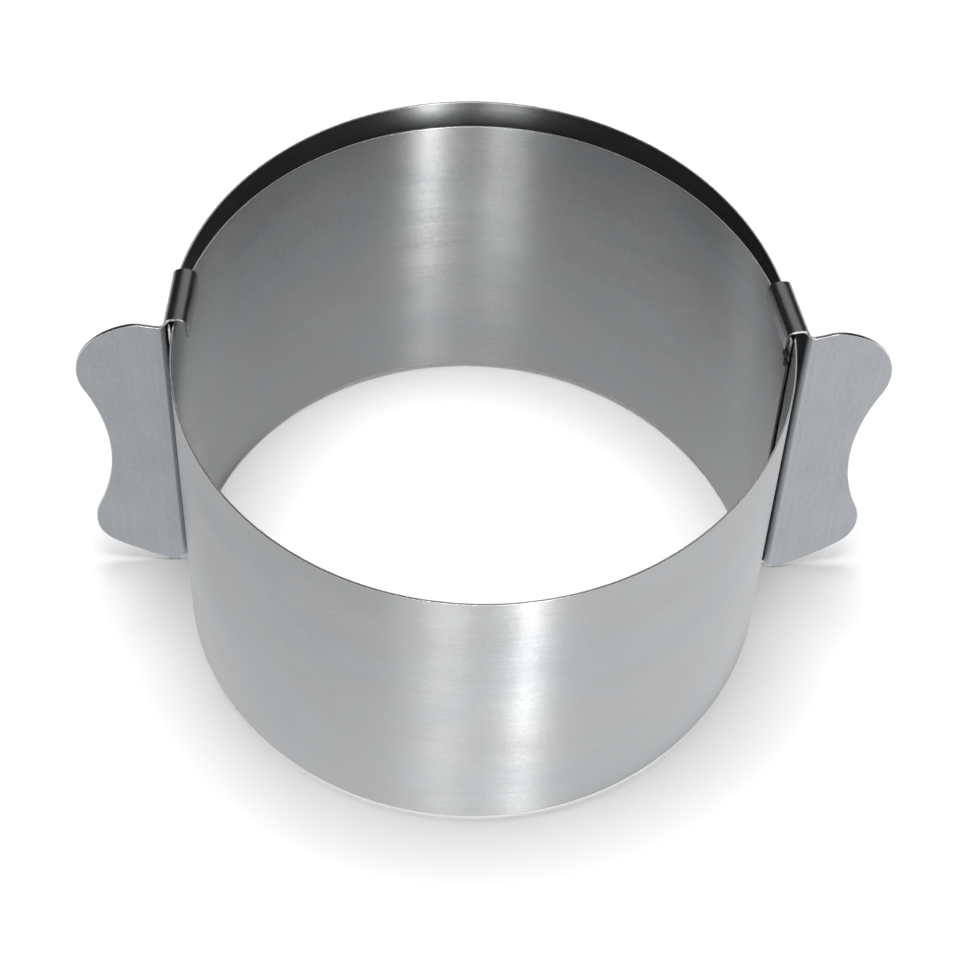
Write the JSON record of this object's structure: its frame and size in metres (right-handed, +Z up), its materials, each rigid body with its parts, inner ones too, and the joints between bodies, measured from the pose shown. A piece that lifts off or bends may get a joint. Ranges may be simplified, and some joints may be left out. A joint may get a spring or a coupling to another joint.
{
  "type": "adjustable ring mould",
  "caption": "Open-ended pastry ring of sprung steel strip whose overlapping ends slide in winged handles, so its diameter can be set.",
  "frame": {"origin": "centre of the outline in X and Y, on the surface that the ring stands on", "axes": "+X from the left handle to the right handle, +Y from the single front wall to the double back wall, +Z up"},
  "size_m": [0.1754, 0.1362, 0.088],
  "materials": {
    "strip_steel": "brushed along the strip",
    "handle_steel": "satin, fine-grained"
  },
  "bodies": {
    "inner_wall_1": {"inner_wall_1": "strip_steel", "right_handle": "handle_steel"},
    "inner_wall_2": {"inner_wall_2": "strip_steel"},
    "inner_wall_3": {"inner_wall_3": "strip_steel"},
    "inner_wall_4": {"inner_wall_4": "strip_steel"},
    "inner_wall_5": {"inner_wall_5": "strip_steel"},
    "inner_wall_6": {"inner_wall_6": "strip_steel"},
    "inner_wall_7": {"inner_wall_7": "strip_steel"},
    "inner_wall_8": {"inner_wall_8": "strip_steel"},
    "inner_wall_9": {"inner_wall_9": "strip_steel"},
    "inner_wall_10": {"inner_wall_10": "strip_steel"},
    "inner_wall_11": {"inner_wall_11": "strip_steel"},
    "front_wall_1": {"front_wall_1": "strip_steel"},
    "front_wall_2": {"front_wall_2": "strip_steel"},
    "front_wall_3": {"front_wall_3": "strip_steel"},
    "front_wall_4": {"front_wall_4": "strip_steel"},
    "front_wall_5": {"front_wall_5": "strip_steel"},
    "front_wall_6": {"front_wall_6": "strip_steel"},
    "front_wall_7": {"front_wall_7": "strip_steel"},
    "front_wall_8": {"front_wall_8": "strip_steel"},
    "front_wall_9": {"front_wall_9": "strip_steel"},
    "front_wall_10": {"front_wall_10": "strip_steel"},
    "front_wall_11": {"front_wall_11": "strip_steel"},
    "outer_wall_1": {"outer_wall_1": "strip_steel"},
    "outer_wall_2": {"outer_wall_2": "strip_steel"},
    "outer_wall_3": {"outer_wall_3": "strip_steel"},
    "outer_wall_4": {"outer_wall_4": "strip_steel"},
    "outer_wall_5": {"outer_wall_5": "strip_steel"},
    "outer_wall_6": {"outer_wall_6": "strip_steel"},
    "outer_wall_7": {"outer_wall_7": "strip_steel"},
    "outer_wall_8": {"outer_wall_8": "strip_steel"},
    "outer_wall_9": {"outer_wall_9": "strip_steel"},
    "outer_wall_10": {"outer_wall_10": "strip_steel"},
    "outer_wall_11": {"outer_wall_11": "strip_steel", "left_handle": "handle_steel"}
  },
  "joints": [
    {"name": "ring_size", "type": "hinge", "parent": "front_wall_6", "child": "front_wall_7", "pos_m": [0.00704, -0.06725, 0.044], "axis": [0, 0, 1], "range_deg": [-2.83, 3.06]},
    {"name": "bend_front_wall_8", "type": "hinge", "parent": "front_wall_7", "child": "front_wall_8", "pos_m": [0.02496, -0.06207, 0.044], "axis": [0, 0, 1], "range_deg": [-2.83, 3.06]},
    {"name": "bend_front_wall_5", "type": "hinge", "parent": "front_wall_6", "child": "front_wall_5", "pos_m": [-0.01161, -0.06725, 0.044], "axis": [0, 0, -1], "range_deg": [-2.87, 3.1]},
    {"name": "bend_front_wall_9", "type": "hinge", "parent": "front_wall_8", "child": "front_wall_9", "pos_m": [0.04076, -0.05215, 0.044], "axis": [0, 0, 1], "range_deg": [-2.82, 3.05]},
    {"name": "bend_front_wall_4", "type": "hinge", "parent": "front_wall_5", "child": "front_wall_4", "pos_m": [-0.0295, -0.06202, 0.044], "axis": [0, 0, -1], "range_deg": [-2.88, 3.12]},
    {"name": "bend_front_wall_10", "type": "hinge", "parent": "front_wall_9", "child": "front_wall_10", "pos_m": [0.05325, -0.03831, 0.044], "axis": [0, 0, 1], "range_deg": [-2.8, 3.02]},
    {"name": "bend_front_wall_3", "type": "hinge", "parent": "front_wall_4", "child": "front_wall_3", "pos_m": [-0.04519, -0.05194, 0.044], "axis": [0, 0, -1], "range_deg": [-2.9, 3.14]},
    {"name": "bend_front_wall_11", "type": "hinge", "parent": "front_wall_10", "child": "front_wall_11", "pos_m": [0.06151, -0.02159, 0.044], "axis": [0, 0, 1], "range_deg": [-2.78, 3]},
    {"name": "bend_front_wall_2", "type": "hinge", "parent": "front_wall_3", "child": "front_wall_2", "pos_m": [-0.05734, -0.0378, 0.044], "axis": [0, 0, -1], "range_deg": [-2.93, 3.16]},
    {"name": "bend_outer_wall_1", "type": "hinge", "parent": "front_wall_11", "child": "outer_wall_1", "pos_m": [0.06495, -0.00325, 0.044], "axis": [0, 0, 1], "range_deg": [-2.75, 2.97]},
    {"name": "bend_front_wall_1", "type": "hinge", "parent": "front_wall_2", "child": "front_wall_1", "pos_m": [-0.06493, -0.02077, 0.044], "axis": [0, 0, -1], "range_deg": [-2.95, 3.19]},
    {"name": "bend_outer_wall_2", "type": "hinge", "parent": "outer_wall_1", "child": "outer_wall_2", "pos_m": [0.06331, 0.01533, 0.044], "axis": [0, 0, 1], "range_deg": [-2.71, 2.93]},
    {"name": "bend_inner_wall_11", "type": "hinge", "parent": "front_wall_1", "child": "inner_wall_11", "pos_m": [-0.06727, -0.00227, 0.044], "axis": [0, 0, -1], "range_deg": [-2.99, 3.23]},
    {"name": "bend_outer_wall_3", "type": "hinge", "parent": "outer_wall_2", "child": "outer_wall_3", "pos_m": [0.0567, 0.03277, 0.044], "axis": [0, 0, 1], "range_deg": [-2.67, 2.89]},
    {"name": "bend_inner_wall_10", "type": "hinge", "parent": "inner_wall_11", "child": "inner_wall_10", "pos_m": [-0.06416, 0.01611, 0.044], "axis": [0, 0, -1], "range_deg": [-3.03, 3.28]},
    {"name": "bend_outer_wall_4", "type": "hinge", "parent": "outer_wall_3", "child": "outer_wall_4", "pos_m": [0.04561, 0.04776, 0.044], "axis": [0, 0, 1], "range_deg": [-2.62, 2.83]},
    {"name": "bend_inner_wall_9", "type": "hinge", "parent": "inner_wall_10", "child": "inner_wall_9", "pos_m": [-0.05586, 0.03281, 0.044], "axis": [0, 0, -1], "range_deg": [-3.09, 3.34]},
    {"name": "bend_outer_wall_5", "type": "hinge", "parent": "outer_wall_4", "child": "outer_wall_5", "pos_m": [0.03084, 0.05916, 0.044], "axis": [0, 0, 1], "range_deg": [-2.56, 2.76]},
    {"name": "bend_inner_wall_8", "type": "hinge", "parent": "inner_wall_9", "child": "inner_wall_8", "pos_m": [-0.0431, 0.0464, 0.044], "axis": [0, 0, -1], "range_deg": [-3.15, 3.4]},
    {"name": "bend_outer_wall_6", "type": "hinge", "parent": "outer_wall_5", "child": "outer_wall_6", "pos_m": [0.01351, 0.06604, 0.044], "axis": [0, 0, 1], "range_deg": [-2.48, 2.68]},
    {"name": "bend_inner_wall_7", "type": "hinge", "parent": "inner_wall_8", "child": "inner_wall_7", "pos_m": [-0.02698, 0.05576, 0.044], "axis": [0, 0, -1], "range_deg": [-3.23, 3.49]},
    {"name": "bend_outer_wall_7", "type": "hinge", "parent": "outer_wall_6", "child": "outer_wall_7", "pos_m": [-0.00505, 0.06784, 0.044], "axis": [0, 0, 1], "range_deg": [-2.39, 2.59]},
    {"name": "bend_inner_wall_6", "type": "hinge", "parent": "inner_wall_7", "child": "inner_wall_6", "pos_m": [-0.00885, 0.06013, 0.044], "axis": [0, 0, -1], "range_deg": [-3.31, 3.58]},
    {"name": "bend_outer_wall_8", "type": "hinge", "parent": "outer_wall_7", "child": "outer_wall_8", "pos_m": [-0.02337, 0.06437, 0.044], "axis": [0, 0, 1], "range_deg": [-2.29, 2.48]},
    {"name": "bend_inner_wall_5", "type": "hinge", "parent": "inner_wall_6", "child": "inner_wall_5", "pos_m": [0.00977, 0.0592, 0.044], "axis": [0, 0, -1], "range_deg": [-3.42, 3.69]},
    {"name": "bend_outer_wall_9", "type": "hinge", "parent": "outer_wall_8", "child": "outer_wall_9", "pos_m": [-0.03996, 0.05587, 0.044], "axis": [0, 0, 1], "range_deg": [-2.18, 2.35]},
    {"name": "bend_inner_wall_4", "type": "hinge", "parent": "inner_wall_5", "child": "inner_wall_4", "pos_m": [0.02739, 0.05308, 0.044], "axis": [0, 0, -1], "range_deg": [-3.54, 3.82]},
    {"name": "bend_outer_wall_10", "type": "hinge", "parent": "outer_wall_9", "child": "outer_wall_10", "pos_m": [-0.05345, 0.04299, 0.044], "axis": [0, 0, 1], "range_deg": [-2.04, 2.21]},
    {"name": "bend_inner_wall_3", "type": "hinge", "parent": "inner_wall_4", "child": "inner_wall_3", "pos_m": [0.04261, 0.0423, 0.044], "axis": [0, 0, -1], "range_deg": [-3.67, 3.97]},
    {"name": "bend_outer_wall_11", "type": "hinge", "parent": "outer_wall_10", "child": "outer_wall_11", "pos_m": [-0.06269, 0.0268, 0.044], "axis": [0, 0, 1], "range_deg": [-1.89, 2.04]},
    {"name": "bend_inner_wall_2", "type": "hinge", "parent": "inner_wall_3", "child": "inner_wall_2", "pos_m": [0.05426, 0.02774, 0.044], "axis": [0, 0, -1], "range_deg": [-3.83, 4.14]},
    {"name": "bend_inner_wall_1", "type": "hinge", "parent": "inner_wall_2", "child": "inner_wall_1", "pos_m": [0.06149, 0.01055, 0.044], "axis": [0, 0, -1], "range_deg": [-4, 4.33]}
  ],
  "couplings": [
    {"joint": "bend_front_wall_8", "follows": "ring_size", "ratio": 0.9945},
    {"joint": "bend_front_wall_5", "follows": "ring_size", "ratio": 1.0055},
    {"joint": "bend_front_wall_9", "follows": "ring_size", "ratio": 0.9886},
    {"joint": "bend_front_wall_4", "follows": "ring_size", "ratio": 1.0115},
    {"joint": "bend_front_wall_10", "follows": "ring_size", "ratio": 0.9818},
    {"joint": "bend_front_wall_3", "follows": "ring_size", "ratio": 1.0184},
    {"joint": "bend_front_wall_11", "follows": "ring_size", "ratio": 0.9737},
    {"joint": "bend_front_wall_2", "follows": "ring_size", "ratio": 1.0268},
    {"joint": "bend_outer_wall_1", "follows": "ring_size", "ratio": 0.9636},
    {"joint": "bend_front_wall_1", "follows": "ring_size", "ratio": 1.037},
    {"joint": "bend_outer_wall_2", "follows": "ring_size", "ratio": 0.9513},
    {"joint": "bend_inner_wall_11", "follows": "ring_size", "ratio": 1.0496},
    {"joint": "bend_outer_wall_3", "follows": "ring_size", "ratio": 0.9363},
    {"joint": "bend_inner_wall_10", "follows": "ring_size", "ratio": 1.065},
    {"joint": "bend_outer_wall_4", "follows": "ring_size", "ratio": 0.918},
    {"joint": "bend_inner_wall_9", "follows": "ring_size", "ratio": 1.0837},
    {"joint": "bend_outer_wall_5", "follows": "ring_size", "ratio": 0.896},
    {"joint": "bend_inner_wall_8", "follows": "ring_size", "ratio": 1.1061},
    {"joint": "bend_outer_wall_6", "follows": "ring_size", "ratio": 0.8698},
    {"joint": "bend_inner_wall_7", "follows": "ring_size", "ratio": 1.1327},
    {"joint": "bend_outer_wall_7", "follows": "ring_size", "ratio": 0.8391},
    {"joint": "bend_inner_wall_6", "follows": "ring_size", "ratio": 1.164},
    {"joint": "bend_outer_wall_8", "follows": "ring_size", "ratio": 0.8032},
    {"joint": "bend_inner_wall_5", "follows": "ring_size", "ratio": 1.2005},
    {"joint": "bend_outer_wall_9", "follows": "ring_size", "ratio": 0.7618},
    {"joint": "bend_inner_wall_4", "follows": "ring_size", "ratio": 1.2425},
    {"joint": "bend_outer_wall_10", "follows": "ring_size", "ratio": 0.7144},
    {"joint": "bend_inner_wall_3", "follows": "ring_size", "ratio": 1.2906},
    {"joint": "bend_outer_wall_11", "follows": "ring_size", "ratio": 0.6605},
    {"joint": "bend_inner_wall_2", "follows": "ring_size", "ratio": 1.3453},
    {"joint": "bend_inner_wall_1", "follows": "ring_size", "ratio": 1.4069}
  ]
}
